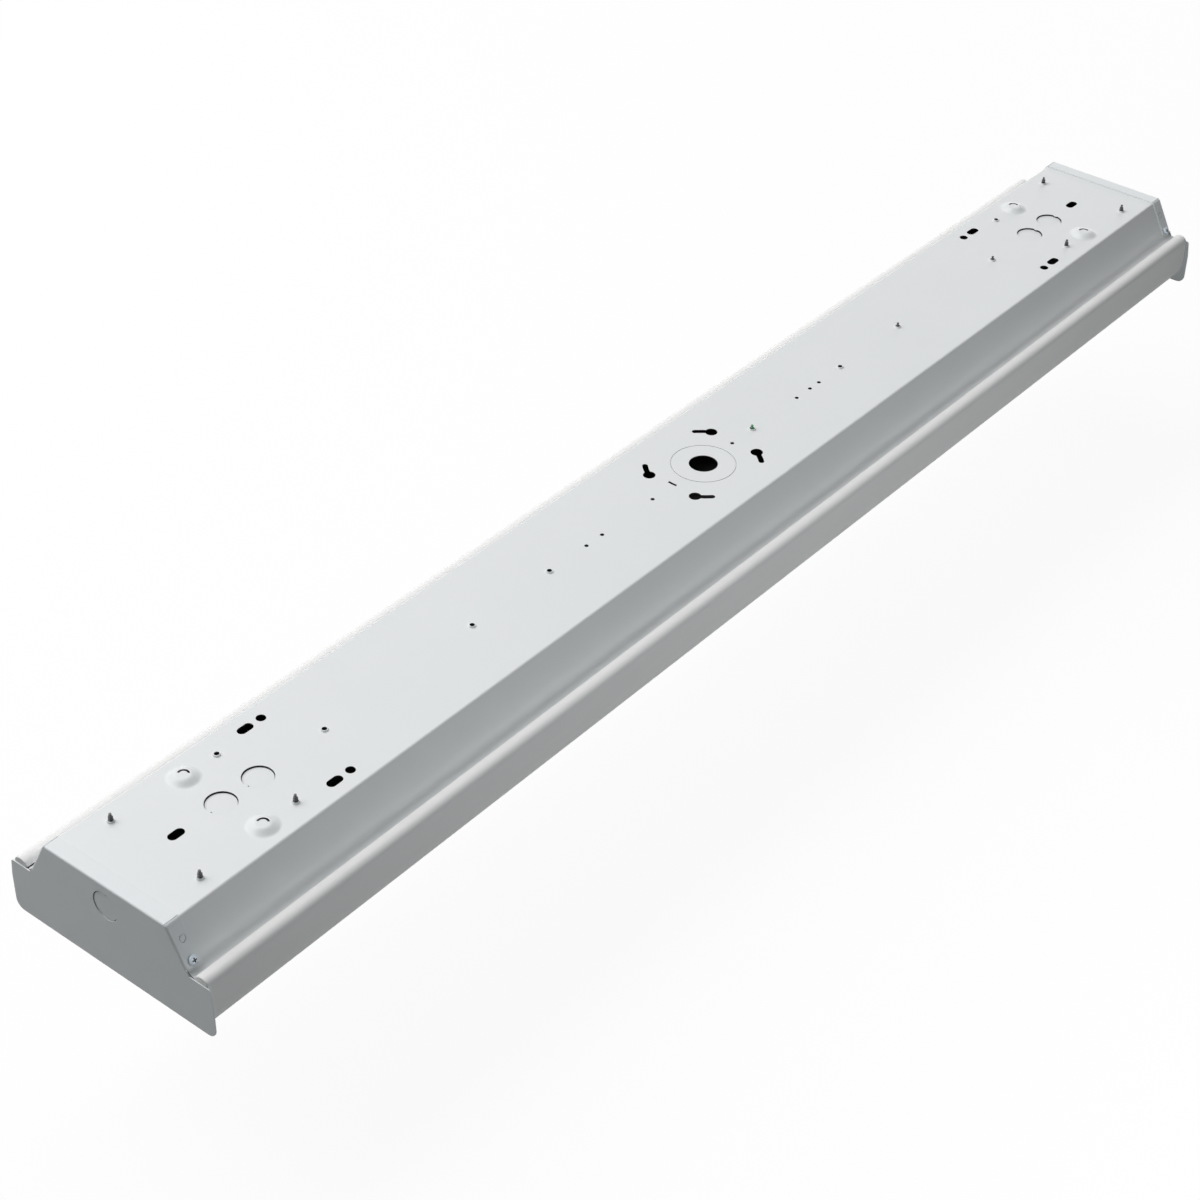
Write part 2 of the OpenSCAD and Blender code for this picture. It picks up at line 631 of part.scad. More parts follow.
// Bracket at the far end: a crossbar on two legs, with one arm along the hinge side
function bracket_section(off) = let (r = 2) concat(
    [[bracket_half + bracket_foot, tray_top + bracket_t - off],
    [bracket_half - off, tray_top + bracket_t - off]],
    arc([bracket_half - r, -sheet_t - r], r - off, 0, 90, 6));
module tray_bracket() {
    color("LightGray") difference() {
        union() {
            translate([bracket_x, 0, 0]) along_x(bracket_w)
                polygon(strip(bracket_section(0), bracket_section(bracket_t)));
            translate([arm_x - bracket_w / 2, 2 - arm_y0, bracket_seat])
                cube([bracket_x - arm_x + eps, arm_y0 - arm_y1 - 2, bracket_t]);
        }
        for (t = [-1, 1]) translate([bracket_x, t * bracket_screw_y, bracket_seat])
            cylinder(d = tapped_d, h = 4 * bracket_t, center = true, $fn = 48);
        translate([arm_x, -arm_screw_y, bracket_seat])
            cylinder(d = tapped_d, h = 4 * bracket_t, center = true, $fn = 48);
        for (t = [-1, 1]) translate([bracket_x, t * tray_screw_y, tray_top])
            cylinder(d = tapped_d, h = 4 * bracket_t, center = true, $fn = 48);
    }
}
module tray_bracket_near() { mirror([1, 0, 0]) tray_bracket(); }
module tray_bracket_far() { tray_bracket(); }

module bracket_screws() {
    color("DarkGray")
        for (p = [[bracket_x, bracket_screw_y], [bracket_x, -bracket_screw_y], [arm_x, -arm_screw_y]])
        translate([p[0], p[1], bracket_seat]) tapping_screw(tip_tall - bracket_seat, 3.2);
}
module bracket_screws_near() { mirror([1, 0, 0]) bracket_screws(); }
module bracket_screws_far() { bracket_screws(); }

module tray_screws() {
    color("DarkGray") for (s = [-1, 1], t = [-1, 1])
        translate([s * bracket_x, t * tray_screw_y, -tray_drop])
        tapping_screw(sheet_t + bracket_t + 3, 2);
}

// LED board of the far latch quarter
module led_board() {
    color("Ivory") difference() {
        translate([board_x0, row_y - board_w / 2, board_face])
            cube([board_x1 - board_x0, board_w, board_t]);
        for (x = rivet_places) translate([x, rivet_y, board_face])
            cylinder(d = rivet_hole_d, h = 4 * board_t, center = true, $fn = 32);
    }
}
module led_board_hinge_near() { mirror([1, 0, 0]) mirror([0, 1, 0]) led_board(); }
module led_board_hinge_far() { mirror([0, 1, 0]) led_board(); }
module led_board_latch_near() { mirror([1, 0, 0]) led_board(); }
module led_board_latch_far() { led_board(); }

module leds() {
    color("Khaki") for (i = [0:led_count - 1])
        translate([board_x0 + led_first + i * led_pitch, row_y, board_face - led_h / 2])
        cube([led_len, led_w, led_h], center = true);
}
module leds_hinge_near() { mirror([1, 0, 0]) mirror([0, 1, 0]) leds(); }
module leds_hinge_far() { mirror([0, 1, 0]) leds(); }
module leds_latch_near() { mirror([1, 0, 0]) leds(); }
module leds_latch_far() { leds(); }

// Snap rivets: head under the board, stem through board and tray, barb on the tray
module board_rivets() {
    color("White") for (s = [-1, 1], t = [-1, 1], x = rivet_places)
        translate([s * x, t * rivet_y, board_face]) rotate_extrude($fn = 32) polygon([
            [0, -rivet_head_h], [rivet_head_d / 2 - 0.5, -rivet_head_h], [rivet_head_d / 2, -0.5],
            [rivet_head_d / 2, 0], [rivet_d / 2, 0], [rivet_d / 2, board_t + sheet_t],
            [rivet_barb_d / 2, board_t + sheet_t], [rivet_d / 3, board_t + sheet_t + 2],
            [0, board_t + sheet_t + 2]]);
}

// Plug housings on the lower face of the boards
module plug(length) {
    difference() {
        cube([length, plug_w, plug_h], center = true);
        translate([0, 0, -plug_h / 2]) cube([length - 2, plug_w - 2.4, 1.2], center = true);
    }
}
module board_links() {
    color("White") for (t = [-1, 1]) translate([0, t * plug_y, plug_z]) plug(link_len);
}
module feed_connectors() {
    color("White") for (t = [-1, 1]) translate([bushing_x, t * plug_y, plug_z]) plug(plug_len);
}
module end_connectors() {
    color("White") for (t = [-1, 1])
        translate([jumper_inset - board_x1, t * plug_y, plug_z]) plug(plug_len);
}
module row_jumper() {
    x = jumper_inset - board_x1;
    y = plug_y - plug_w / 2;
    color("Gold") wire([[x, -y, plug_z], [x, 1.5 - y, plug_z], [x, 5 - y, plug_z],
        [x + 5, -y / 3, plug_z + 0.6], [x + 5, y / 3, plug_z + 0.6],
        [x, y - 5, plug_z], [x, y - 1.5, plug_z], [x, y, plug_z]], lead_d, [0, 0, 1]);
}

// Driver: foot plate against the channel, closed case below it
module driver_foot_plate() {
    color("Silver") difference() {
        union() {
            translate([driver_near, -driver_w / 2 + 4, driver_seat])
                cube([driver_pitch, driver_w - 8, driver_foot_t]);
            for (x = [driver_near, driver_far])
                translate([x, 0, driver_seat]) cylinder(d = 13, h = driver_foot_t, $fn = 48);
            translate([driver_x0, -driver_w / 2, driver_seat])
                cube([driver_x1 - driver_x0, driver_w, driver_foot_t]);
        }
        for (x = [driver_near, driver_far]) translate([x, 0, driver_seat])
            cylinder(d = tapped_d, h = 4 * driver_foot_t, center = true, $fn = 48);
    }
}
module driver_case() {
    w = driver_w / 2;
    c = driver_chamfer;
    color("GhostWhite") translate([(driver_x0 + driver_x1) / 2, 0, 0])
        along_x(driver_x1 - driver_x0) polygon([[-w, driver_seat], [-w, driver_floor + c],
            [c - w, driver_floor], [w - c, driver_floor], [w, driver_floor + c], [w, driver_seat]]);
}
module driver_grommets() {
    color("Black") for (t = [-1, 1]) {
        translate([driver_x0 - grommet_len, t * lead_y, lead_z]) rotate([0, 90, 0])
            cylinder(d1 = grommet_d - 1, d2 = grommet_d, h = grommet_len, $fn = 32);
        translate([driver_x1, t * lead_y, lead_z]) rotate([0, 90, 0])
            cylinder(d1 = grommet_d, d2 = grommet_d - 1, h = grommet_len, $fn = 32);
    }
}
module driver_screws() {
    color("DarkGray") for (x = [driver_near, driver_far])
        translate([x, 0, driver_seat]) tapping_screw(tip_short - driver_seat, 2.5);
}

// Input leads drop from the driver to the tray and run along it to the splices
function input_route(y0, y1) =
    let (x0 = driver_x0 - grommet_len, x1 = splice_x + splice_len, run = x0 - x1, low = tray_top + lead_d)
    [[x0, y0, lead_z], [x0 - 2, y0, lead_z], [x0 - 0.09 * run, y0, lead_z],
    [x0 - 0.27 * run, y0, (lead_z + low) / 2], [x0 - 0.5 * run, (y0 + y1) / 2, low],
    [x1 + 0.24 * run, y1, low], [x1 + 0.09 * run, y1, splice_z], [x1 + 2, y1, splice_z], [x1, y1, splice_z]];
module lead_black() { color("DimGray") wire(input_route(-lead_y, -splice_pitch), lead_d, [0, 1, 0]); }
module lead_white() { color("White") wire(input_route(lead_y, 0), lead_d, [0, 1, 0]); }

// Output leads pass down through the bushing and turn to their feed connector
function output_route(t) =
    let (x0 = driver_x1 + grommet_len, y = plug_y - plug_w / 2)
    [[x0, t * lead_y, lead_z], [x0 + 2, t * lead_y, lead_z], [x0 + 9, t * lead_y, lead_z],
    [bushing_x - 9, t * 4, lead_z - 4], [bushing_x - 1.5, t * feed_y, tray_top + 7],
    [bushing_x, t * feed_y, tray_top + 2], [bushing_x, t * feed_y, -tray_drop - 1.5],
    [bushing_x, t * 0.21 * y, plug_z - 1.4], [bushing_x, t * 0.55 * y, plug_z - 1],
    [bushing_x, t * 0.8 * y, plug_z], [bushing_x, t * (y - 1.5), plug_z], [bushing_x, t * y, plug_z]];
module lead_red() { color("Red") wire(output_route(-1), lead_d, [1, 0.9, 0.1]); }
module lead_blue() { color("Blue") wire(output_route(1), lead_d, [1, -0.9, 0.1]); }

module wire_bushing() {
    r = bushing_hole_d / 2;
    color("DimGray") translate([bushing_x, 0, -tray_drop]) rotate_extrude($fn = 48) polygon([
        [bushing_bore_d / 2, -bushing_flange], [r + 1.5, -bushing_flange], [r + 1.5, 0],
        [r - screw_gap, 0], [r - screw_gap, sheet_t], [r + 0.6, sheet_t], [r - 0.6, sheet_t + 1.2],
        [bushing_bore_d / 2, sheet_t + 1.2]]);
}

// Push-in splices with a sloped release face
module splice_connectors() {
    color("Orange") for (k = [-1, 0, 1]) translate([splice_x + splice_len / 2, k * splice_pitch, tray_top])
        rotate([90, 0, 0]) linear_extrude(splice_w, center = true) polygon([
            [-splice_len / 2, 0], [splice_len / 2, 0], [splice_len / 2, splice_h - 1],
            [splice_len / 2 - 1, splice_h], [-splice_len / 6, splice_h], [-splice_len / 2, splice_h * 0.75]]);
}
module ground_screw() {
    color("Green") translate([pilot_mid, 0, -sheet_t - terminal_t])
        tapping_screw(tip_short + sheet_t + terminal_t, 2.5);
}
module ground_terminal() {
    color("Silver") {
        translate([pilot_mid, 0, -sheet_t - terminal_t]) difference() {
            union() {
                cylinder(d = terminal_d, h = terminal_t, $fn = 48);
                translate([-1.5, 0, 0]) cube([3, barrel_y - 5, terminal_t]);
            }
            cylinder(d = tapped_d, h = 4 * terminal_t, center = true, $fn = 48);
        }
        translate([pilot_mid, barrel_y - 6, barrel_z]) rotate([-90, 0, 0])
            cylinder(d = barrel_d, h = 6, $fn = 32);
    }
}
module ground_wire() {
    color("Green") wire([[pilot_mid, barrel_y, barrel_z], [pilot_mid, barrel_y + 1.5, barrel_z],
        [pilot_mid, barrel_y + 4, barrel_z], [pilot_mid + 1, barrel_y + 12, barrel_z - 8],
        [pilot_mid + 5, barrel_y + 11, splice_z + 4], [splice_x - 9, splice_pitch + 1.5, splice_z],
        [splice_x - 4, splice_pitch, splice_z], [splice_x - 2, splice_pitch, splice_z],
        [splice_x, splice_pitch, splice_z]],
        lead_d, [0.9, -0.1, 0.6]);
}

channel_housing();
end_plate_near();
end_plate_far();
end_plate_screws_near();
end_plate_screws_far();
lens();
led_tray();
tray_bracket_near();
tray_bracket_far();
bracket_screws_near();
bracket_screws_far();
tray_screws();
led_board_hinge_near();
led_board_hinge_far();
led_board_latch_near();
led_board_latch_far();
leds_hinge_near();
leds_hinge_far();
leds_latch_near();
leds_latch_far();
board_rivets();
board_links();
feed_connectors();
end_connectors();
row_jumper();
driver_foot_plate();
driver_case();
driver_grommets();
driver_screws();
lead_black();
lead_white();
lead_red();
lead_blue();
wire_bushing();
splice_connectors();
ground_screw();
ground_terminal();
ground_wire();
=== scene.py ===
"""Wraparound light seen from its ceiling side: finishes, fasteners, small parts and a white studio."""

import math

import bpy
from mathutils import Matrix, Vector


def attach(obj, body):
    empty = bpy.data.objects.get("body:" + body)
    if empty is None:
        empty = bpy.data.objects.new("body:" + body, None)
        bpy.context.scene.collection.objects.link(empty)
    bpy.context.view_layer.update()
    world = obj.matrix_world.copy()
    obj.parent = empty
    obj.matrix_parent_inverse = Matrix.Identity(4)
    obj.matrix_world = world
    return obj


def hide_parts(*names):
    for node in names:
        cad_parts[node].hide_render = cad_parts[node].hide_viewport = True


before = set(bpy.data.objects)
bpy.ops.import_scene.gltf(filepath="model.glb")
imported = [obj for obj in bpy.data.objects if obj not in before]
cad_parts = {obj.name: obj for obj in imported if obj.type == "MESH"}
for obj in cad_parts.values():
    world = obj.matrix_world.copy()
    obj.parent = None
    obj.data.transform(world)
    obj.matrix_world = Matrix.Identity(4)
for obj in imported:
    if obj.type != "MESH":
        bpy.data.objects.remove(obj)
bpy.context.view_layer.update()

MM = 0.001
HOUSING = "housing"
LENS = "lens"
SIDES = (-1, 1)
ENDS = (("near", -1), ("far", 1))
ROWS = (("hinge", -1), ("latch", 1))
CORNERS = [(sx, sy) for sx in SIDES for sy in SIDES]

# Sizes of the CAD model that the new pieces share with it, in millimetres
HALF_LEN = 609.6
PLATE_T = 0.9
TRAY_DROP = 30.8
BOARD_T = 1.2
SHOULDER_DROP = 31.7
SIDE_RUN = 17.0
TOP_HALF = 54.975
VALLEY_HALF = TOP_HALF + SIDE_RUN
# How far the slopes turn down from the ceiling face, in radians
SLOPE = math.atan2(SHOULDER_DROP, SIDE_RUN)


# Materials

# Nearly all of a noise texture lies between these values
NOISE_LOW, NOISE_HIGH = 0.3, 0.7
# The colour sockets of a Mix node, which share their names with its other sockets
MIX_A, MIX_B, MIX_RESULT = 6, 7, 2
# The normal's Z over which the painted inner shade, near black, gives way to paint
SHADE_FROM_Z, SHADE_TO_Z = 0.22, 0.28
# Gloss changes over a shorter way than tone, by this factor
GLOSS_SCALE = 6
COAT_ROUGH = 0.2
BEVEL_SAMPLES = 4


def socket(node, name, value):
    node.inputs[name].default_value = value


def link(tree, a, out, b, into):
    tree.links.new(a.outputs[out], b.inputs[into])


def new_material(name):
    m = bpy.data.materials.new(name)
    m.use_nodes = True
    tree = m.node_tree
    tree.nodes.clear()
    out = tree.nodes.new("ShaderNodeOutputMaterial")
    bsdf = tree.nodes.new("ShaderNodeBsdfPrincipled")
    link(tree, bsdf, "BSDF", out, "Surface")
    coord = tree.nodes.new("ShaderNodeTexCoord")
    return m, tree, bsdf, coord


def noise(tree, coord, scale, detail, rough=0.5, stretch=None):
    n = tree.nodes.new("ShaderNodeTexNoise")
    socket(n, "Scale", scale)
    socket(n, "Detail", detail)
    socket(n, "Roughness", rough)
    if stretch:
        m = tree.nodes.new("ShaderNodeMapping")
        socket(m, "Scale", stretch)
        link(tree, coord, "Object", m, "Vector")
        link(tree, m, "Vector", n, "Vector")
    else:
        link(tree, coord, "Object", n, "Vector")
    return n


def mapped(tree, texture, low, high):
    """The texture's usual span, brought to low and high."""
    r = tree.nodes.new("ShaderNodeMapRange")
    socket(r, "From Min", NOISE_LOW)
    socket(r, "From Max", NOISE_HIGH)
    socket(r, "To Min", low)
    socket(r, "To Max", high)
    link(tree, texture, "Fac", r, "Value")
    return r


def base_mix(tree, bsdf, factor):
    """A mix of two colours that feeds the base colour."""
    mix = tree.nodes.new("ShaderNodeMix")
    mix.data_type = "RGBA"
    link(tree, factor, "Result", mix, 0)
    tree.links.new(mix.outputs[MIX_RESULT], bsdf.inputs["Base Color"])
    return mix


def two_tones(tree, bsdf, factor, dark, light):
    mix = base_mix(tree, bsdf, factor)
    socket(mix, MIX_A, (*dark, 1))
    socket(mix, MIX_B, (*light, 1))
    return mix


def paint_inner_shade(tree, bsdf, coord, painted, sign, colour):
    """Painted shade, near black, on the faces that turn away from the painted side; it stands for the shade
    inside the housing.
    """
    split = tree.nodes.new("ShaderNodeSeparateXYZ")
    link(tree, coord, "Normal", split, "Vector")
    turned = tree.nodes.new("ShaderNodeMapRange")
    socket(turned, "From Min", SHADE_FROM_Z * sign)
    socket(turned, "From Max", SHADE_TO_Z * sign)
    link(tree, split, "Z", turned, "Value")
    mix = base_mix(tree, bsdf, turned)
    socket(mix, MIX_A, (*colour, 1))
    tree.links.new(painted.outputs[MIX_RESULT], mix.inputs[MIX_B])


def surface(name, colour, rough, vary=0.03, tone_scale=14, grain_scale=900, grain=0.00002,
            edge=0.0003, metallic=0.0, coat=0.0, specular=0.5, stretch=None, rough_span=0.05, painted_inner_shade=None):
    """A finish with slow changes of tone, fine grain in its height and softly rounded edges.

    Its last argument is (sign, colour): where the normal's Z times sign is below the lower shade threshold,
    the colour is painted shade, near black, standing for the shade inside the housing and in its holes.
    """
    m, tree, bsdf, coord = new_material(name)
    tone = noise(tree, coord, tone_scale, detail=4, rough=0.6, stretch=stretch)
    dark = tuple(c * (1 - vary) for c in colour)
    painted = two_tones(tree, bsdf, mapped(tree, tone, 0, 1), dark, colour)
    if painted_inner_shade:
        paint_inner_shade(tree, bsdf, coord, painted, *painted_inner_shade)
    gloss = noise(tree, coord, tone_scale * GLOSS_SCALE, detail=5, rough=0.6, stretch=stretch)
    link(tree, mapped(tree, gloss, rough - rough_span, rough + rough_span), "Result", bsdf, "Roughness")
    socket(bsdf, "Metallic", metallic)
    socket(bsdf, "Coat Weight", coat)
    socket(bsdf, "Coat Roughness", COAT_ROUGH)
    socket(bsdf, "Specular IOR Level", specular)
    bump = tree.nodes.new("ShaderNodeBump")
    socket(bump, "Distance", grain)
    socket(bump, "Strength", 1.0)
    link(tree, noise(tree, coord, grain_scale, detail=2, stretch=stretch), "Fac", bump, "Height")
    if edge:
        bevel = tree.nodes.new("ShaderNodeBevel")
        bevel.samples = BEVEL_SAMPLES
        socket(bevel, "Radius", edge)
        link(tree, bevel, "Normal", bump, "Normal")
    link(tree, bump, "Normal", bsdf, "Normal")
    return m


def insulation(name, colour):
    return surface(name, colour, 0.33, vary=0.08, tone_scale=160, grain_scale=3000, grain=0.000006,
                   edge=0, coat=0.2)


# Painted shade: a near-black colour on faces turned into the housing, so that its inside and its holes look
# dark
INNER_SHADE_PAINT = (0.035, 0.035, 0.036)
# The channel's faces that don't face up, inside and round its holes, take the painted shade
enamel = surface("channel_enamel", (0.783, 0.802, 0.808), 0.42, vary=0.02, tone_scale=9, grain_scale=1100,
                 grain=0.00001, painted_inner_shade=(1, INNER_SHADE_PAINT))
# The channel's white paint, tinted bluer as painted light: the cool cast of the fill light on the end plates
plate_enamel_blue_light_tint = surface("plate_enamel_blue_light_tint", (0.775, 0.805, 0.816), 0.42, vary=0.02, tone_scale=9,
                       grain_scale=1100, grain=0.00001)
# The tray's faces that don't face down, its hidden top side, take the painted shade
tray_enamel = surface("tray_enamel", (0.90, 0.90, 0.89), 0.6, vary=0.02, grain_scale=1400, grain=0.00001,
                      painted_inner_shade=(-1, INNER_SHADE_PAINT))
opal = surface("lens_acrylic", (0.905, 0.90, 0.893), 0.5, vary=0.02, tone_scale=60, grain_scale=700,
               grain=0.000012, specular=0.2, rough_span=0.02, stretch=(0.25, 1, 1))
bright_zinc = surface("bright_zinc", (0.62, 0.64, 0.67), 0.32, vary=0.12, tone_scale=60, metallic=1.0)
# Dark zinc for the screws; in the cap screws' cross recesses it is also painted shade
dark_zinc = surface("dark_zinc", (0.10, 0.10, 0.105), 0.34, vary=0.3, tone_scale=220, metallic=0.9,
                    edge=0.0002)
pale_zinc = surface("pale_zinc", (0.50, 0.55, 0.60), 0.5, vary=0.15, tone_scale=260, metallic=0.6,
                    edge=0.0002)
green_zinc = surface("green_zinc", (0.05, 0.20, 0.09), 0.36, vary=0.3, tone_scale=200, metallic=0.7,
                     edge=0.0002)
tin = surface("tin_plate", (0.72, 0.71, 0.68), 0.28, vary=0.1, tone_scale=120, metallic=1.0)
nylon = surface("white_nylon", (0.86, 0.86, 0.82), 0.45, vary=0.03, tone_scale=90, grain_scale=2200)
rubber = surface("black_rubber", (0.022, 0.022, 0.024), 0.7, vary=0.2, tone_scale=150, grain_scale=2600,
                 grain=0.00003)
case_paint = surface("driver_case_paint", (0.84, 0.84, 0.83), 0.4, vary=0.03, tone_scale=30)
board_mask = surface("board_solder_mask", (0.88, 0.88, 0.85), 0.35, vary=0.03, tone_scale=70, coat=0.3)
phosphor = surface("phosphor_resin", (0.86, 0.70, 0.16), 0.25, vary=0.1, tone_scale=500, grain_scale=4000)
package_white = surface("package_white", (0.88, 0.88, 0.86), 0.4, vary=0.03, tone_scale=300)
amber = surface("amber_moulding", (0.80, 0.34, 0.04), 0.22, vary=0.08, tone_scale=120, coat=0.5)

finishes = [
    (enamel, ["channel_housing"]),
    (plate_enamel_blue_light_tint, ["end_plate_near", "end_plate_far"]),
    (opal, ["lens"]),
    (tray_enamel, ["led_tray"]),
    (bright_zinc, ["tray_bracket_near", "tray_bracket_far", "driver_foot_plate"]),
    (dark_zinc, ["end_plate_screws_near", "end_plate_screws_far", "bracket_screws_near",
                 "bracket_screws_far", "tray_screws", "driver_screws"]),
    (green_zinc, ["ground_screw"]),
    (tin, ["ground_terminal"]),
    (board_mask, ["led_board_%s_%s" % (row, end) for row, _ in ROWS for end, _ in ENDS]),
    (phosphor, ["leds_%s_%s" % (row, end) for row, _ in ROWS for end, _ in ENDS]),
    (nylon, ["board_rivets", "board_links", "feed_connectors", "end_connectors"]),
    (case_paint, ["driver_case"]),
    (rubber, ["driver_grommets", "wire_bushing"]),
    (amber, ["splice_connectors"]),
    (insulation("black_insulation", (0.015, 0.015, 0.016)), ["lead_black"]),
    (insulation("white_insulation", (0.84, 0.84, 0.81)), ["lead_white"]),
    (insulation("red_insulation", (0.55, 0.02, 0.015)), ["lead_red"]),
    (insulation("blue_insulation", (0.02, 0.07, 0.42)), ["lead_blue"]),
    (insulation("yellow_insulation", (0.80, 0.58, 0.04)), ["row_jumper"]),
    (insulation("green_insulation", (0.02, 0.26, 0.06)), ["ground_wire"]),
]
for finish, names in finishes:
    for name in names:
        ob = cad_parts[name]
        ob.data.materials.clear()
        ob.data.materials.append(finish)


# Meshes

SHARP_ANGLE = math.radians(32)
TINY = 1e-6
UPSIDE_DOWN = Matrix.Rotation(math.pi, 4, "X")


def at(x, y, z):
    return Matrix.Translation((x, y, z))


def polar(r, a, z):
    return (r * math.cos(a), r * math.sin(a), z)


class Build:
    """Collects closed shells in millimetres and turns them into one object in metres."""

    def __init__(self, name):
        self.name, self.verts, self.faces, self.mats = name, [], [], []

    def add(self, verts, faces, place, mat):
        """mat is one material slot for all faces, or a list with one for each."""
        n = len(self.verts)
        self.verts += [place @ Vector(v) for v in verts]
        self.faces += [tuple(i + n for i in f) for f in faces]
        self.mats += mat if isinstance(mat, list) else [mat] * len(faces)

    def revolve(self, profile, steps, place, mat):
        """Closed solid of revolution about Z from (r, z) points, from the axis to the axis."""
        verts, faces, rings = [], [], []
        for r, z in profile:
            if r < TINY:
                rings.append([len(verts)])
                verts.append((0, 0, z))
            else:
                rings.append([len(verts) + k for k in range(steps)])
                verts += [polar(r, 2 * math.pi * k / steps, z) for k in range(steps)]
        for a, b in zip(rings, rings[1:]):
            for k in range(steps):
                j = (k + 1) % steps
                corners = [a[k % len(a)], a[j % len(a)], b[j % len(b)], b[k % len(b)]]
                face = tuple(dict.fromkeys(corners))
                if len(face) > 2:
                    faces.append(face)
        self.add(verts, faces, place, mat)

    def sweep(self, count, ring, place=Matrix(), mat=0):
        """Closed tube through count rings, whose points ring(i) gives."""
        n = len(ring(0))
        verts = [v for i in range(count) for v in ring(i)]
        faces = [tuple(range(n))[::-1], tuple(range(len(verts) - n, len(verts)))]
        for i in range(count - 1):
            for k in range(n):
                j = (k + 1) % n
                faces.append((i * n + k, i * n + j, (i + 1) * n + j, (i + 1) * n + k))
        self.add(verts, faces, place, mat)

    def finish(self, materials, body, slot, *replaced):
        mesh = bpy.data.meshes.new(self.name)
        mesh.from_pydata([v * MM for v in self.verts], [], self.faces)
        for m in materials:
            mesh.materials.append(m)
        mesh.polygons.foreach_set("material_index", self.mats)
        mesh.update()
        piece = bpy.data.objects.new(self.name, mesh)
        bpy.context.scene.collection.objects.link(piece)
        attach(piece, body)
        if replaced:
            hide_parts(*replaced)
        for p in mesh.polygons:
            p.use_smooth = True
        mesh.set_sharp_from_angle(angle=SHARP_ANGLE)


def rings_to_solid(build, rings, place=Matrix(), mat=0, inner_from=None, inner_mat=0):
    """Closed solid from rings of equal count, the first and last filled; the bands from inner_from on
    and the last cap take inner_mat."""
    n = len(rings[0])
    faces = [(lv * n + i, lv * n + (i + 1) % n, (lv + 1) * n + (i + 1) % n, (lv + 1) * n + i)
             for lv in range(len(rings) - 1) for i in range(n)]
    faces += [tuple(range(n))[::-1], tuple(range(n * (len(rings) - 1), n * len(rings)))]
    mats = mat
    if inner_from is not None:
        inner = (len(rings) - 1 - inner_from) * n
        mats = [mat] * (inner_from * n) + [inner_mat] * inner + [mat, inner_mat]
    build.add([v for r in rings for v in r], faces, place, mats)


# Self-tapping screws, in millimetres: a core with a helical ridge that runs out before a plain dog point.
# Z runs from the seat of the head to the tip.
SCREW_D = 3.5
CORE_STEPS = 20
# How far the core reaches up into the head
HEAD_OVERLAP = 0.3
THREAD_PITCH = 1.3
THREAD_DEPTH = 0.42
THREAD_START = 0.25
THREAD_STEPS = 24
# The ridge rises and falls over this many steps at its ends
RUN_OUT_STEPS = 8
# Half widths of the ridge at its root and crest, and how far the root is sunk into the core
ROOT_HALF, CREST_HALF, ROOT_SUNK = 0.36, 0.05, 0.12
# Length of the point, from the end of the thread to the tip
POINT_LEN = 2.1
CORE_CHAMFER = 0.1
NECK_R, NECK_DROP = 0.62, 0.4
# Dog point: radius, and height above the tip
DOG_POINT = [(NECK_R, 1.2), (0.9, 1.05), (1.05, 0.85), (1.05, 0.35), (0.93, 0.12), (0.65, 0), (0, 0)]


def shank(build, place, reach, mat):
    """Threaded core and point, reach long."""
    core = SCREW_D / 2 - THREAD_DEPTH
    last = reach - POINT_LEN
    profile = [(0, -HEAD_OVERLAP), (core, -HEAD_OVERLAP), (core, last),
               (core - CORE_CHAMFER, last + CORE_CHAMFER), (NECK_R, last + NECK_DROP)]
    profile += [(r, reach - height) for r, height in DOG_POINT]
    build.revolve(profile, CORE_STEPS, place, mat)
    count = int((last - THREAD_START) / THREAD_PITCH * THREAD_STEPS)

    def ring(i):
        a = 2 * math.pi * i / THREAD_STEPS
        z = THREAD_START + THREAD_PITCH * i / THREAD_STEPS
        rise = min(1, i / RUN_OUT_STEPS, (count - i) / RUN_OUT_STEPS)
        root, crest = core - ROOT_SUNK, core + THREAD_DEPTH * rise
        return [polar(root, a, z - ROOT_HALF), polar(crest, a, z - CREST_HALF),
                polar(crest, a, z + CREST_HALF), polar(root, a, z + ROOT_HALF)]

    build.sweep(count + 1, ring, place, mat)


WASHER_R = 4.1
WASHER_T = 0.7
WASHER_STEPS = 40
# Rim of the washer: how far inside its radius, and height above its seat
WASHER_RIM = [(0.15, 0), (0, 0.15), (0, 0.4), (0.2, WASHER_T - 0.05), (0.7, WASHER_T)]
HALF_FLATS = 3.15
HEAD_H = 2.0
HEX_STEPS = 48
# Hex head with its dish: depth below its top, and the radius that trims the hexagon, in half flats
HEX_LEVELS = [(HEAD_H + 0.1, 2), (0.35, 2), (0, 1.06), (0, 0.66), (0.45, 0.55)]


def hex_screw(build, place, reach):
    """Washer with a rounded rim under a hex head with chamfered corners and a shallow dish."""
    shank(build, place, reach, 0)
    washer = [(0, 0), *[(WASHER_R - inset, -height) for inset, height in WASHER_RIM], (0, -WASHER_T)]
    build.revolve(washer, WASHER_STEPS, place, 0)
    rings = []
    for depth, trim in HEX_LEVELS:
        ring = []
        for i in range(HEX_STEPS):
            a = 2 * math.pi * i / HEX_STEPS
            flat = HALF_FLATS / math.cos(a % (math.pi / 3) - math.pi / 6)
            ring.append(polar(min(flat, HALF_FLATS * trim), a, depth - WASHER_T - HEAD_H))
        rings.append(ring)
    rings_to_solid(build, rings, place)


PAN_R = 3.4
PAN_H = 2.4
PAN_CHAMFER = 0.1
# Share of the head's height that its rim has
PAN_EDGE = 0.35
CROSS_W, CROSS_LEN, CROSS_DEPTH = 1.0, 3.4, 1.3
# Rings of the dome, from its rim (1) to the mouth of the recess (0)
DOME_SHARES = (1, 0.97, 0.9, 0.75, 0.5, 0.2, 0)
# Rings of the recess below its mouth: shares of the cross and of its depth
RECESS_SHARES = ((0.8, 0.9), (0.3, 1))


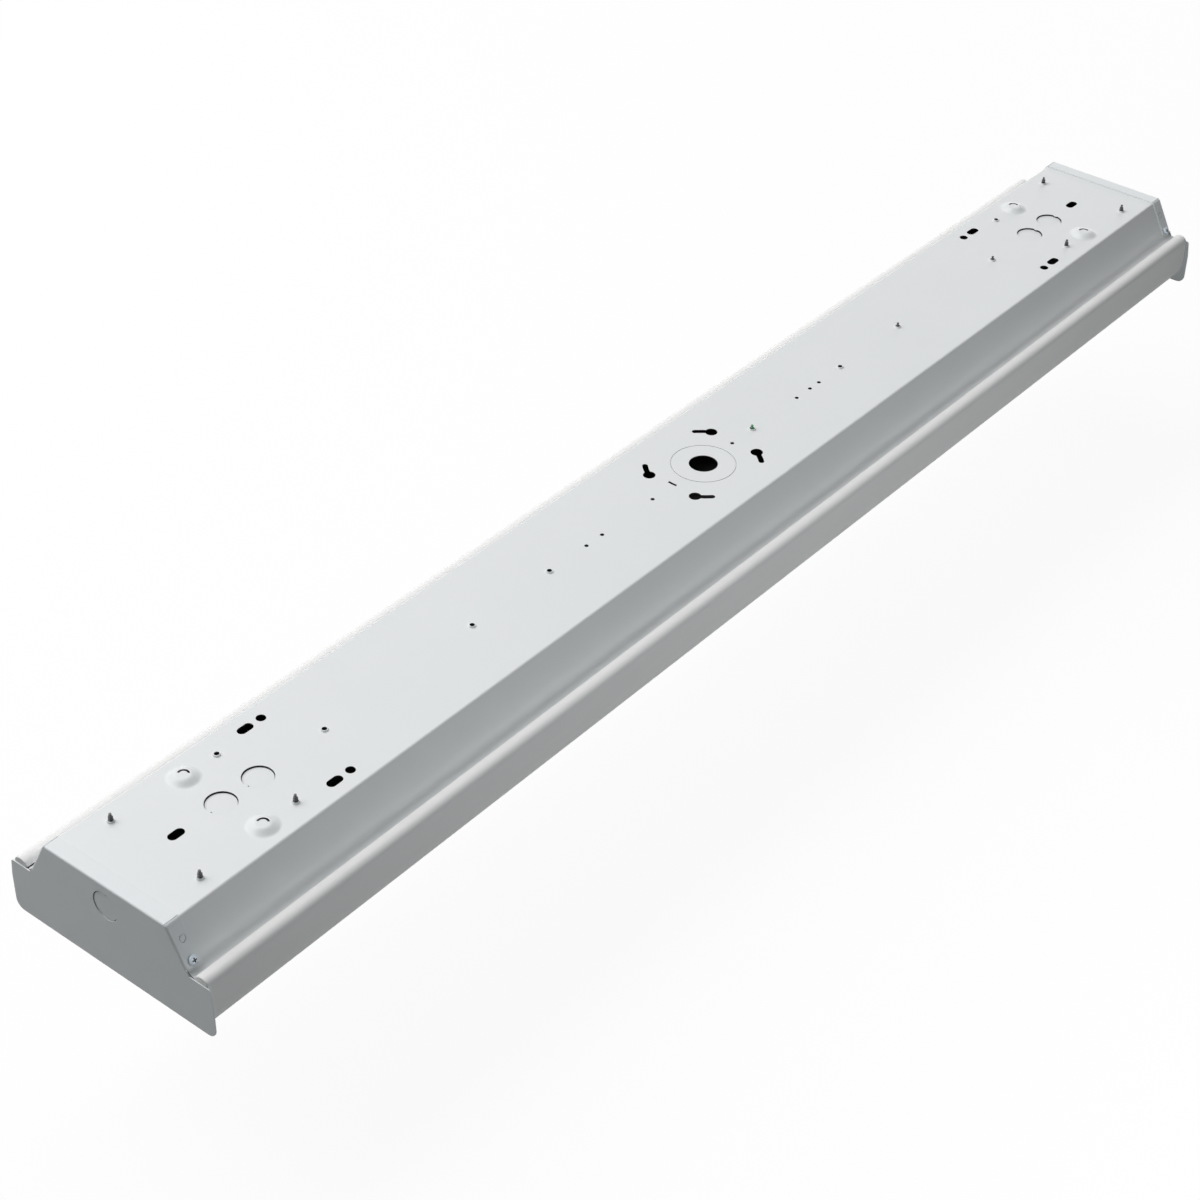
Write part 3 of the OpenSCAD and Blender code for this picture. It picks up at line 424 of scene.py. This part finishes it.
def pan_screw(build, place, reach):
    """Domed round head in material slot 0, with a cross recess that narrows as it goes down, in slot 1, whose
    dark colour is painted shade in the recess.
    """
    shank(build, place, reach, 1)
    corner = math.atan(CROSS_W / CROSS_LEN)
    quarter = [0, corner, 0.5 * (corner + math.pi / 4), math.pi / 4]
    quarter += [math.pi / 2 - t for t in reversed(quarter[1:-1])]
    angles = [q * math.pi / 2 + t for q in range(4) for t in quarter]

    def dome(r):
        return -PAN_H * (PAN_EDGE + (1 - PAN_EDGE) * math.sqrt(max(0, 1 - (r / PAN_R) ** 2)))

    def cross(a):
        t = a % (math.pi / 2)
        t = min(t, math.pi / 2 - t)
        return CROSS_LEN / 2 / math.cos(t) if t <= corner + TINY else CROSS_W / 2 / math.sin(t)

    rings = [[polar(PAN_R - PAN_CHAMFER, a, 0) for a in angles],
             [polar(PAN_R, a, -PAN_CHAMFER) for a in angles]]
    for share in DOME_SHARES:
        radii = [cross(a) + share * (PAN_R - cross(a)) for a in angles]
        rings.append([polar(r, a, dome(r)) for r, a in zip(radii, angles)])
    mouth = len(rings) - 1
    for size, depth in RECESS_SHARES:
        rings.append([polar(size * cross(a), a, CROSS_DEPTH * depth - PAN_H) for a in angles])
    rings_to_solid(build, rings, place, 0, mouth, 1)


def on_slope(side, along, out, x):
    """Place on a slope, whose Z points out of the sheet; side is -1 for -Y, +1 for +Y."""
    y = TOP_HALF + along * math.cos(SLOPE) + out * math.sin(SLOPE)
    z = out * math.cos(SLOPE) - along * math.sin(SLOPE)
    return at(x, side * y, z) @ Matrix.Rotation(-side * SLOPE, 4, "X")


# Where the CAD model has its screws: insets from the ends and edges, seats and reaches
PLATE_SCREW_INSET, PLATE_SCREW_ALONG, PLATE_REACH = 7.3, 28.3, 6.5
BRACKET_INSET, ARM_INSET = 43.6, 131.6
BRACKET_SCREW_EDGE, ARM_SCREW_EDGE = 14.5, 19
BRACKET_EDGE, TRAY_SCREW_OUT = 7, 5
DRIVER_INSET, DRIVER_PITCH = 195.1, 147.7
GROUND_X = 62.8
FOOT_SEAT, GROUND_SEAT = -1.8, -1.6
HANGER_REACH, TRAY_REACH, DRIVER_REACH, GROUND_REACH = 8.3, 4.8, 5.8, 5.6

BRACKET_X = HALF_LEN - BRACKET_INSET
ARM_X = HALF_LEN - ARM_INSET
BRACKET_Y = TOP_HALF - BRACKET_SCREW_EDGE
ARM_Y = TOP_HALF - ARM_SCREW_EDGE
TRAY_SCREW_Y = TOP_HALF - BRACKET_EDGE + TRAY_SCREW_OUT
DRIVER_FAR = HALF_LEN - DRIVER_INSET
DRIVER_NEAR = DRIVER_FAR - DRIVER_PITCH

for end, sx in ENDS:
    b = Build("cap_screws_" + end)
    for side in SIDES:
        seat = on_slope(side, PLATE_SCREW_ALONG, PLATE_T, sx * (HALF_LEN - PLATE_SCREW_INSET))
        pan_screw(b, seat @ UPSIDE_DOWN, PLATE_REACH)
    # The cross recess takes the dark zinc as painted shade under the paler head
    b.finish([pale_zinc, dark_zinc], HOUSING, "zinc_steel", "end_plate_screws_" + end)
    b = Build("hanger_screws_" + end)
    for x, y in ((BRACKET_X, BRACKET_Y), (BRACKET_X, -BRACKET_Y), (ARM_X, -ARM_Y)):
        hex_screw(b, at(sx * x, y, FOOT_SEAT), HANGER_REACH)
    b.finish([dark_zinc], HOUSING, "dark_zinc", "bracket_screws_" + end)
b = Build("pan_screws")
for sx, sy in CORNERS:
    hex_screw(b, at(sx * BRACKET_X, sy * TRAY_SCREW_Y, -TRAY_DROP), TRAY_REACH)
b.finish([dark_zinc], HOUSING, "dark_zinc", "tray_screws")
b = Build("gear_screws")
for x in (DRIVER_NEAR, DRIVER_FAR):
    hex_screw(b, at(x, 0, FOOT_SEAT), DRIVER_REACH)
b.finish([dark_zinc], HOUSING, "dark_zinc", "driver_screws")
b = Build("earth_screw")
hex_screw(b, at(GROUND_X, 0, GROUND_SEAT), GROUND_REACH)
b.finish([green_zinc], HOUSING, "green_zinc", "ground_screw")


# End plates: the slope flange laps round the corner of the channel and stops just short of the top flange
FLANGE_LEN = 12.0
PLATE_BEND_R = 1.5
TOP_BEND_R = 2.0
# Where the plate's own slope flange starts, along the slope
FLANGE_START = 3.0
TOP_FLANGE_OVER = 0.3
SEAM = 0.45
# The lap stays behind the plate's face and off the channel, and runs a little past its bend
FACE_GAP, SHEET_GAP, BEND_LEG = 0.01, 0.02, 0.1
BEND_STEPS = 8
BEND_SETBACK = TOP_BEND_R * math.tan(SLOPE / 2)
CORNER_Y = TOP_HALF - BEND_SETBACK


def corner_lap(build, sx, sy):
    """The flange's bent profile, carried round the bend between ceiling face and slope."""
    outer = TOP_BEND_R + PLATE_T
    bend = []
    for k in range(BEND_STEPS + 1):
        a = math.pi / 2 * k / BEND_STEPS
        bend.append((PLATE_BEND_R * (math.sin(a) - 1) - FACE_GAP, PLATE_BEND_R * (math.cos(a) - 1)))
    inner_r = PLATE_BEND_R - PLATE_T
    back = [(inner_r * math.sin(a) - PLATE_BEND_R, inner_r * math.cos(a) - PLATE_BEND_R)
            for a in (math.pi / 2, math.pi / 4, 0)]
    leg_end = -PLATE_BEND_R - BEND_LEG
    profile = [(-FLANGE_LEN, 0), *bend, (-FACE_GAP, leg_end), (-PLATE_T, leg_end), *back,
               (-FLANGE_LEN, SHEET_GAP - PLATE_T)]
    start = math.asin((TOP_FLANGE_OVER + SEAM) / outer)
    stations = [(start + (SLOPE - start) * k / BEND_STEPS, 0.0) for k in range(BEND_STEPS + 1)]
    stations.append((SLOPE, FLANGE_START - BEND_SETBACK))

    def ring(i):
        a, along = stations[i]
        points = []
        for x, h in profile:
            r = outer + h
            y = CORNER_Y + r * math.sin(a) + along * math.cos(a)
            z = -TOP_BEND_R + r * math.cos(a) - along * math.sin(a)
            points.append((sx * (HALF_LEN + x), sy * y, z))
        return points

    build.sweep(len(stations), ring)


b = Build("plate_corner_laps")
for sx, sy in CORNERS:
    corner_lap(b, sx, sy)
b.finish([plate_enamel_blue_light_tint], HOUSING, "plate_paint")


# Lens: a thin web closes each end of both rolls, down to the shoulder that they hang on
ROLL_Y, ROLL_TOP = 83.0, -26.7
ROLL_SIDE_R, ROLL_LIP_R = 5.5, 8.2
LENS_T = 1.8
LIP_GAP = 0.3
WEB_INNER_X, WEB_OUTER_X = 608.2, 608.5
# How far the web stays inside the roll's outline and above the shoulder
WEB_INSET = 0.15
# Where the web starts on the side round, in degrees, and how far its foot stays inside the roll's side
WEB_START, WEB_SIDE = 25, 2.6
# How far the foot steps back outwards from the end of the lip round
WEB_FOOT = 0.3
SIDE_STEPS, LIP_STEPS = 6, 8
# Layers of the web: share of its thickness, shrink towards the roll's middle, and drop
WEB_LAYERS = ((0, 0, 0), (0.7, 0, 0), (1, 0.03, 0.02))


def roll_arc(radius, angles):
    """Points just inside a round of the roll; both rounds touch the roll's top."""
    r = radius - WEB_INSET
    return [(ROLL_Y + r * math.cos(a), ROLL_TOP - radius + r * math.sin(a)) for a in angles]


def roll_web(build, sx, sy):
    lip_z = -SHOULDER_DROP + LIP_GAP + LENS_T / 2
    lip_a = math.acos((lip_z - ROLL_TOP + ROLL_LIP_R) / (ROLL_LIP_R - LENS_T / 2))
    side_angles = [math.radians(WEB_START + (90 - WEB_START) * k / SIDE_STEPS) for k in range(SIDE_STEPS + 1)]
    lip_angles = [math.pi / 2 + lip_a * k / LIP_STEPS for k in range(1, LIP_STEPS + 1)]
    outline = roll_arc(ROLL_SIDE_R, side_angles) + roll_arc(ROLL_LIP_R, lip_angles)
    foot_z = -SHOULDER_DROP + WEB_INSET
    outline.append((outline[-1][0] + WEB_FOOT, foot_z))
    outline.append((ROLL_Y + ROLL_SIDE_R - WEB_SIDE, foot_z))
    rings = []
    for share, shrink, drop in WEB_LAYERS:
        x = WEB_INNER_X + (WEB_OUTER_X - WEB_INNER_X) * share
        rings.append([(sx * x, sy * (y + (ROLL_Y - y) * shrink), z - drop) for y, z in outline])
    rings_to_solid(build, rings)


b = Build("lens_end_webs")
for sx, sy in CORNERS:
    roll_web(b, sx, sy)
b.finish([opal], LENS, "lens_acrylic")


# LED packages: a white body with a sloped pocket of phosphor, on two solder fillets
LED_LEN, LED_W, LED_H = 3.5, 2.8, 0.7
LED_PITCH, LED_FIRST, LED_COUNT = 20, 18, 28
PAD_LEN = 0.5
ROW_INSET = 39
ROW_Y = VALLEY_HALF - ROW_INSET
BOARD_FACE = -TRAY_DROP - BOARD_T
# Levels of each form: length, width and height above the board
LED_BODY = [(LED_LEN - 0.3, LED_W, 0), (LED_LEN - 0.3, LED_W, LED_H - 0.08),
            (LED_LEN - 0.42, LED_W - 0.12, LED_H), (LED_LEN - 0.8, LED_W - 0.5, LED_H),
            (LED_LEN - 1.1, LED_W - 0.8, LED_H - 0.14)]
LED_POCKET = [(LED_LEN - 1.0, LED_W - 0.7, LED_H - 0.3), (LED_LEN - 1.05, LED_W - 0.75, LED_H - 0.12),
              (LED_LEN - 1.5, LED_W - 1.2, LED_H - 0.07)]
LED_SOLDER = [(PAD_LEN, LED_W - 0.3, 0), (PAD_LEN - 0.04, LED_W - 0.34, 0.1),
              (PAD_LEN - 0.3, LED_W - 0.7, 0.3)]


def stack(build, levels, place, mat):
    """Closed form through rectangles of the given lengths, widths and heights."""
    rings = [[(sx * length / 2, sy * width / 2, z) for sx, sy in ((-1, -1), (1, -1), (1, 1), (-1, 1))]
             for length, width, z in levels]
    rings_to_solid(build, rings, place, mat)


def led_package(build, x, y):
    place = at(x, y, BOARD_FACE) @ UPSIDE_DOWN
    stack(build, LED_BODY, place, 0)
    stack(build, LED_POCKET, place, 1)
    for side in SIDES:
        stack(build, LED_SOLDER, place @ at(side * (LED_LEN - PAD_LEN) / 2, 0, 0), 2)


for row, sy in ROWS:
    for end, sx in ENDS:
        b = Build("led_packages_%s_%s" % (row, end))
        for i in range(LED_COUNT):
            led_package(b, sx * (LED_FIRST + i * LED_PITCH), sy * ROW_Y)
        b.finish([package_white, phosphor, tin], HOUSING, "led_phosphor", "leds_%s_%s" % (row, end))


# Studio, in metres

# The floor lies just below the reach of the open lens
FLOOR_Z = -0.206
FLOOR_SIZE = 40
# How much light the floor gives back to the object, and how far it is lifted to white where it is seen
FLOOR_BOUNCE, FLOOR_LIFT = 0.1, 0.935
FLOOR_TONE_SCALE, FLOOR_TONE_LOW = 1.5, 0.985
WORLD_TINT, WORLD_LEVEL = (0.93, 0.97, 1.0, 1), 0.02


def mixed(tree, share, first, second):
    """A mix of two shaders by a number or by an output socket."""
    mix = tree.nodes.new("ShaderNodeMixShader")
    if isinstance(share, float):
        socket(mix, "Fac", share)
    else:
        tree.links.new(share, mix.inputs["Fac"])
    tree.links.new(first.outputs[0], mix.inputs[1])
    tree.links.new(second.outputs[0], mix.inputs[2])
    return mix


def seen_direct(tree):
    """1 for rays that see the surroundings as the camera does: straight, in gloss or through glass."""
    path = tree.nodes.new("ShaderNodeLightPath")
    last = path.outputs["Is Camera Ray"]
    for kind in ("Is Glossy Ray", "Is Transmission Ray"):
        both = tree.nodes.new("ShaderNodeMath")
        both.operation = "MAXIMUM"
        tree.links.new(last, both.inputs[0])
        tree.links.new(path.outputs[kind], both.inputs[1])
        last = both.outputs[0]
    return last


def pale_floor():
    """Pale diffuse floor; where it is seen directly it is lifted towards the backdrop, but keeps the shadow.

    From below the floor is clear, so that the underside of the light can be looked at.
    """
    m, tree, bsdf, coord = new_material("studio_floor")
    tree.nodes.remove(bsdf)
    out = next(n for n in tree.nodes if n.type == "OUTPUT_MATERIAL")
    tone = mapped(tree, noise(tree, coord, FLOOR_TONE_SCALE, detail=2), FLOOR_TONE_LOW, 1.0)
    pale = tree.nodes.new("ShaderNodeBsdfDiffuse")
    link(tree, tone, "Result", pale, "Color")
    bounce = tree.nodes.new("ShaderNodeBsdfDiffuse")
    socket(bounce, "Color", (FLOOR_BOUNCE, FLOOR_BOUNCE, FLOOR_BOUNCE, 1))
    white = tree.nodes.new("ShaderNodeEmission")
    socket(white, "Strength", 1.0)
    lifted = mixed(tree, FLOOR_LIFT, pale, white)
    top = mixed(tree, seen_direct(tree), bounce, lifted)
    side = tree.nodes.new("ShaderNodeNewGeometry")
    clear = tree.nodes.new("ShaderNodeBsdfTransparent")
    link(tree, mixed(tree, side.outputs["Backfacing"], top, clear), "Shader", out, "Surface")
    return m


bpy.ops.mesh.primitive_plane_add(size=FLOOR_SIZE, location=(0, 0, FLOOR_Z))
floor = bpy.context.object
floor.name = "floor"
floor.data.materials.append(pale_floor())


def area(name, place, target, size, size_y, power, colour=(1, 1, 1)):
    """Rectangular lamp that shines at target and isn't seen itself."""
    data = bpy.data.lights.new(name, "AREA")
    data.shape = "RECTANGLE"
    data.size, data.size_y, data.energy, data.color = size, size_y, power, colour
    ob = bpy.data.objects.new(name, data)
    ob.location = place
    ob.rotation_euler = (Vector(target) - Vector(place)).to_track_quat("-Z", "Y").to_euler()
    ob.visible_camera = False
    bpy.context.scene.collection.objects.link(ob)


# Name, place, target, length, width, watts and tint
area("key", (-0.2, 2.6, 2.6), (0, 0, 0), 3.0, 3.0, 63)
area("key_near", (-2.0, 2.0, 2.4), (0, 0, 0), 2.2, 2.2, 38)
area("overhead", (0.1, 1.25, 2.7), (0, 0, 0), 3.6, 0.9, 42)
area("side_high", (0.1, -1.1, 1.2), (0.1, 0, -0.04), 0.6, 0.3, 0.15)
area("side_low", (0.0, -1.0, 0.05), (0, 0, -0.05), 0.9, 0.42, 2.8, (0.97, 1.0, 1.01))
area("near_side", (-0.45, -0.95, 0.5), (-0.25, 0, -0.02), 0.6, 0.4, 0.5, (0.95, 1.0, 1.03))
area("near_fill", (-2.6, -0.7, 0.8), (0, 0, -0.02), 1.5, 1.2, 1.85, (0.8, 1.0, 1.05))
area("far_fill", (2.6, 0.6, 0.4), (0, 0, -0.02), 1.5, 0.8, 7)

# White where it is seen, dim where it only lights the object
world = bpy.data.worlds.new("studio")
world.use_nodes = True
bpy.context.scene.world = world
sky = world.node_tree
sky.nodes.clear()
sky_out = sky.nodes.new("ShaderNodeOutputWorld")
dim = sky.nodes.new("ShaderNodeBackground")
socket(dim, "Color", WORLD_TINT)
socket(dim, "Strength", WORLD_LEVEL)
backdrop = sky.nodes.new("ShaderNodeBackground")
socket(backdrop, "Color", (1, 1, 1, 1))
socket(backdrop, "Strength", 1.0)
link(sky, mixed(sky, seen_direct(sky), dim, backdrop), "Shader", sky_out, "Surface")

bpy.context.scene.view_settings.view_transform = "Standard"

# Camera, with the place, axes and lens that were solved from the photograph
CAMERA_PLACE = (-1.306556, -0.938203, 1.076232)
CAMERA_RIGHT = Vector((0.63032723, -0.77618084, 0.01519487))
CAMERA_DOWN = Vector((-0.45905873, -0.38843749, -0.79898773))
CAMERA_AHEAD = Vector((0.62606123, 0.49664838, -0.60115532))
SENSOR_WIDTH, FOCAL_LENGTH, CLIP_END = 36.0, 75.786, 60

camera_data = bpy.data.cameras.new("camera")
camera_data.sensor_width = SENSOR_WIDTH
camera_data.lens = FOCAL_LENGTH
camera_data.clip_end = CLIP_END
camera = bpy.data.objects.new("camera", camera_data)
turn = Matrix((CAMERA_RIGHT, -CAMERA_DOWN, -CAMERA_AHEAD)).transposed()
camera.matrix_world = Matrix.Translation(CAMERA_PLACE) @ turn.to_4x4()
bpy.context.scene.collection.objects.link(camera)
bpy.context.scene.camera = camera
